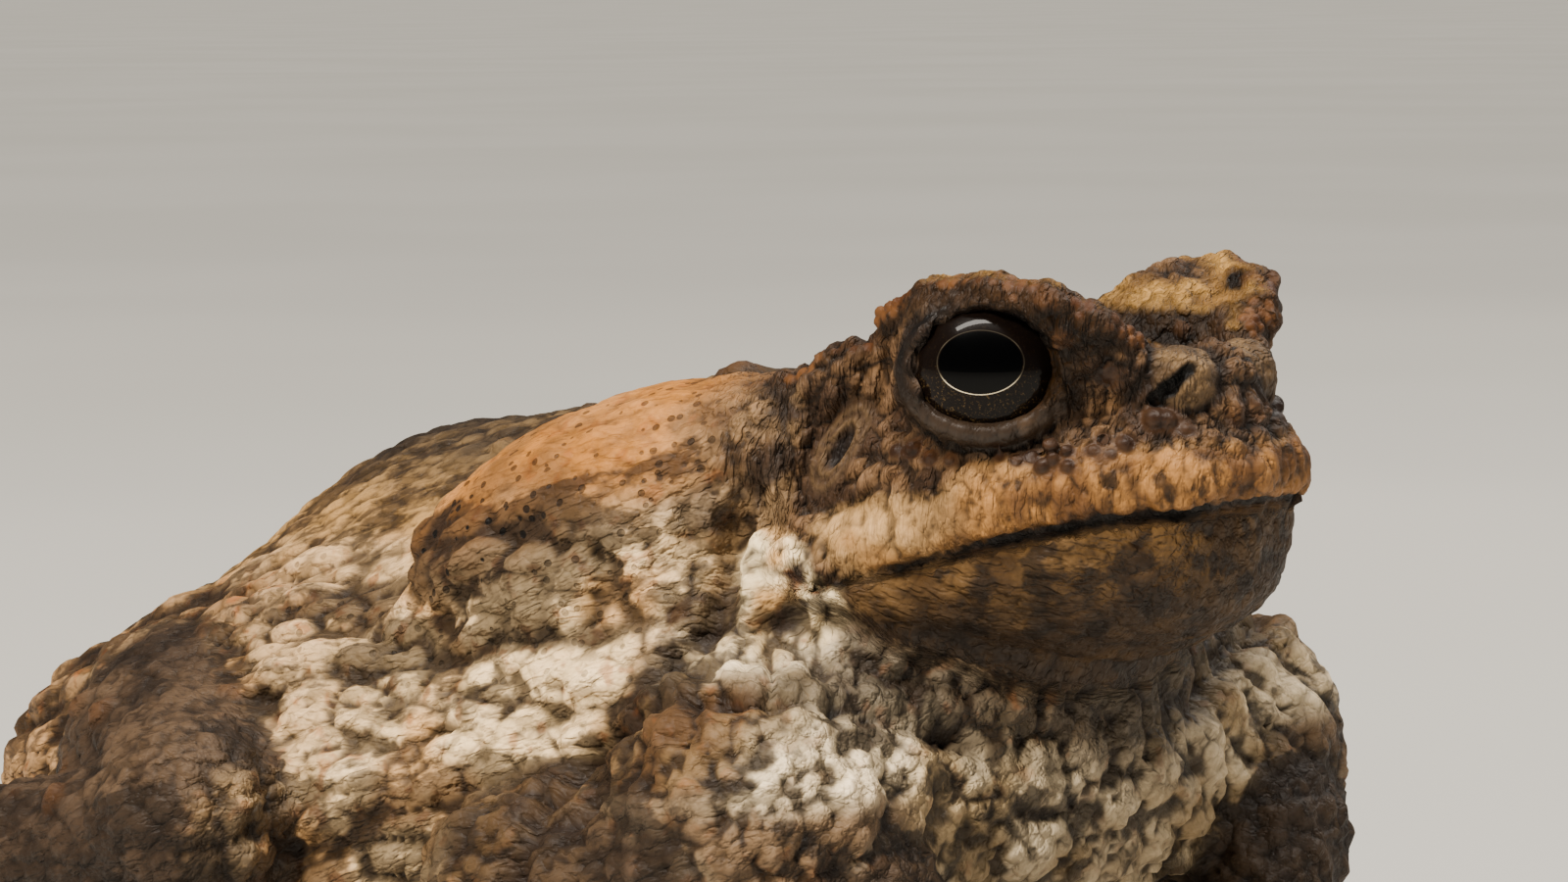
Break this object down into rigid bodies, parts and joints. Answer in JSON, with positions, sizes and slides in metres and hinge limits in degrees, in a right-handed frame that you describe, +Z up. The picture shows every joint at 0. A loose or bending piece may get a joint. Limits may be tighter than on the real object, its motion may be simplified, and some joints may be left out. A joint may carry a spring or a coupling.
{
  "type": "cane toad",
  "caption": "Life-size still model of an adult cane toad sitting low with its head raised, warty hide, large parotoid glands, folded limbs and webbed hind feet.",
  "frame": {"origin": "on the floor under the middle of the whole toad's box", "axes": "+Z up, the toad looks along -Y, its left side towards +X"},
  "size_m": [0.133, 0.1415, 0.0768],
  "materials": {
    "hide": "damp matte warty skin in brown, tan and ochre",
    "eye": "wet gloss over a dark iris flecked with gold"
  },
  "bodies": {
    "root": {"head": "hide", "torso": "hide", "parotoid_gland_left": "hide", "parotoid_gland_right": "hide", "upper_arm_left": "hide", "upper_arm_right": "hide", "forearm_left": "hide", "forearm_right": "hide", "hand_left": "hide", "hand_right": "hide", "thigh_left": "hide", "thigh_right": "hide", "shank_left": "hide", "shank_right": "hide", "ankle_left": "hide", "ankle_right": "hide", "foot_left": "hide", "foot_right": "hide", "eye_left": "eye", "eye_right": "eye"}
  },
  "joints": []
}
